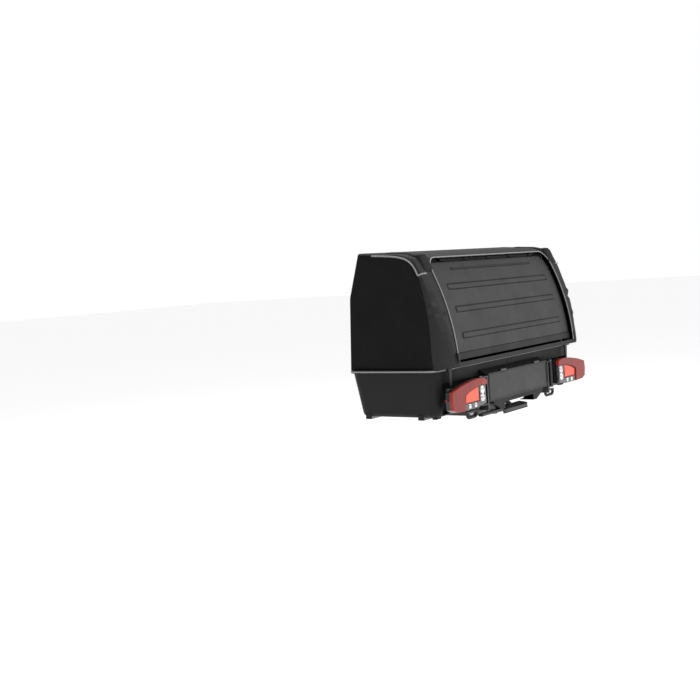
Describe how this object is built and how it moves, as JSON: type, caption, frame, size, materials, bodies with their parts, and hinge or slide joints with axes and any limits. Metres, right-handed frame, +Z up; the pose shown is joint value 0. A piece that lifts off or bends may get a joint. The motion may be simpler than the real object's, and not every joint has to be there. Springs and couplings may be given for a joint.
{
  "type": "hitch cargo carrier",
  "caption": "Soft-sided cargo box on a tilting tow-ball platform, with a lift-up ribbed rear door, swing-out tail lamps, a blank number plate and a foot pedal.",
  "frame": {"origin": "centre of the 50 mm tow ball that the carrier is clamped to", "axes": "+X to the carrier's right-hand side as seen from behind, +Y forward towards the car, +Z up; the door, lamps and number plate face -Y"},
  "size_m": [1.234, 0.5831, 0.7545],
  "materials": {
    "tray_plastic": "fine moulded grain",
    "side_fabric": "coated woven polyester",
    "corner_fabric": "coated woven polyester",
    "roof_fabric": "coated woven polyester",
    "door_shell": "satin, pressed ribs",
    "piping": "reflective tape",
    "webbing": "ribbed webbing",
    "trim_plastic": "satin",
    "frame_paint": "black powder coat",
    "beam_aluminium": "satin anodised",
    "zinc": "zinc plated",
    "cast_coupling": "black e-coat",
    "bronze": "sintered",
    "rubber": "moulded",
    "plate_dark": "blank plate",
    "lamp_black": "moulded",
    "lens_red": "clear moulded red",
    "lens_clear": "clear moulded"
  },
  "bodies": {
    "hitch_base": {"base_beam": "frame_paint", "pivot_bushes": "bronze", "latch_striker": "zinc", "coupling_body": "cast_coupling", "coupling_pins": "zinc"},
    "platform": {"tray": "tray_plastic", "rim_piping": "piping", "hood_side_right": "side_fabric", "hood_side_left": "side_fabric", "hood_corner_right": "corner_fabric", "hood_corner_left": "corner_fabric", "hood_roof": "roof_fabric", "hood_front": "side_fabric", "hood_sill": "corner_fabric", "hinge_rail": "trim_plastic", "opening_piping": "piping", "side_piping": "piping", "corner_straps": "webbing", "strap_buckles": "trim_plastic", "corner_hooks": "trim_plastic", "hoops": "zinc", "hoop_sockets": "trim_plastic", "cross_beams": "beam_aluminium", "beam_caps": "rubber", "frame_rails": "frame_paint", "hinge_cheeks": "frame_paint", "tilt_axle": "zinc", "tray_bolts": "zinc", "rear_feet": "rubber", "pedal_ears": "frame_paint", "linkage_pins": "zinc", "pedal_spring": "zinc", "rear_console": "tray_plastic", "plate_holder": "trim_plastic", "number_plate": "plate_dark", "plate_lamps": "lamp_black", "belly_cover": "tray_plastic", "cable_duct": "trim_plastic", "lamp_brackets": "frame_paint", "grip_loops": "trim_plastic", "lamp_pins": "zinc"},
    "door": {"door_panel": "door_shell", "door_hem": "door_shell", "door_hinge_rod": "zinc"},
    "zip_right": {"zip_slider_right": "trim_plastic"},
    "zip_left": {"zip_slider_left": "trim_plastic"},
    "lamp_right": {"lamp_housing_right": "lamp_black", "lamp_lens_red_right": "lens_red", "lamp_lens_clear_right": "lens_clear"},
    "lamp_left": {"lamp_housing_left": "lamp_black", "lamp_lens_red_left": "lens_red", "lamp_lens_clear_left": "lens_clear"},
    "pedal": {"pedal": "frame_paint"},
    "release_rod": {"release_rod": "zinc"},
    "latch_hook": {"latch_hook": "zinc"},
    "clamp_lever": {"clamp_lever": "cast_coupling", "lever_grip": "rubber"},
    "lever_lock": {"lever_lock": "zinc"},
    "clamp_jaw": {"clamp_jaw": "cast_coupling"}
  },
  "joints": [
    {"name": "tilt", "type": "hinge", "parent": "hitch_base", "child": "platform", "pos_m": [0, -0.3, 0.015], "axis": [1, 0, 0], "range_deg": [0, 40]},
    {"name": "door_lift", "type": "hinge", "parent": "platform", "child": "door", "pos_m": [0, -0.3937, 0.694], "axis": [-1, 0, 0], "range_deg": [0, 65]},
    {"name": "zip_run_right", "type": "hinge", "parent": "platform", "child": "zip_right", "pos_m": [0, 0.4, 0.233], "axis": [-1, 0, 0], "range_deg": [0, 16]},
    {"name": "zip_run_left", "type": "hinge", "parent": "platform", "child": "zip_left", "pos_m": [0, 0.4, 0.233], "axis": [-1, 0, 0], "range_deg": [0, 16]},
    {"name": "lamp_swing_right", "type": "hinge", "parent": "platform", "child": "lamp_right", "pos_m": [0.318, -0.504, 0.145], "axis": [0, 0, -1], "range_deg": [0, 90]},
    {"name": "lamp_swing_left", "type": "hinge", "parent": "platform", "child": "lamp_left", "pos_m": [-0.318, -0.504, 0.145], "axis": [0, 0, 1], "range_deg": [0, 90]},
    {"name": "pedal_press", "type": "hinge", "parent": "platform", "child": "pedal", "pos_m": [0, -0.424, 0.024], "axis": [1, 0, 0], "range_deg": [-13, 7]},
    {"name": "rod_pull", "type": "slide", "parent": "platform", "child": "release_rod", "axis": [0, -1, 0], "range_m": [-0.0033, 0.0018]},
    {"name": "hook_release", "type": "hinge", "parent": "platform", "child": "latch_hook", "pos_m": [0.036, -0.15, 0.052], "axis": [-1, 0, 0], "range_deg": [-13.5, 7.5]},
    {"name": "lever_throw", "type": "hinge", "parent": "hitch_base", "child": "clamp_lever", "pos_m": [0, 0.01, 0.056], "axis": [-1, 0, 0], "range_deg": [0, 50]},
    {"name": "jaw_grip", "type": "hinge", "parent": "hitch_base", "child": "clamp_jaw", "pos_m": [0, 0.031, 0.024], "axis": [1, 0, 0], "range_deg": [0, 12.5]},
    {"name": "lock_turn", "type": "hinge", "parent": "clamp_lever", "child": "lever_lock", "pos_m": [0, 0.01, 0.09], "axis": [1, 0, 0], "range_deg": [0, 90]}
  ],
  "couplings": [
    {"joint": "rod_pull", "follows": "pedal_press", "m_per_rad": 0.014},
    {"joint": "hook_release", "follows": "pedal_press", "ratio": 1},
    {"joint": "jaw_grip", "follows": "lever_throw", "ratio": 0.24}
  ]
}
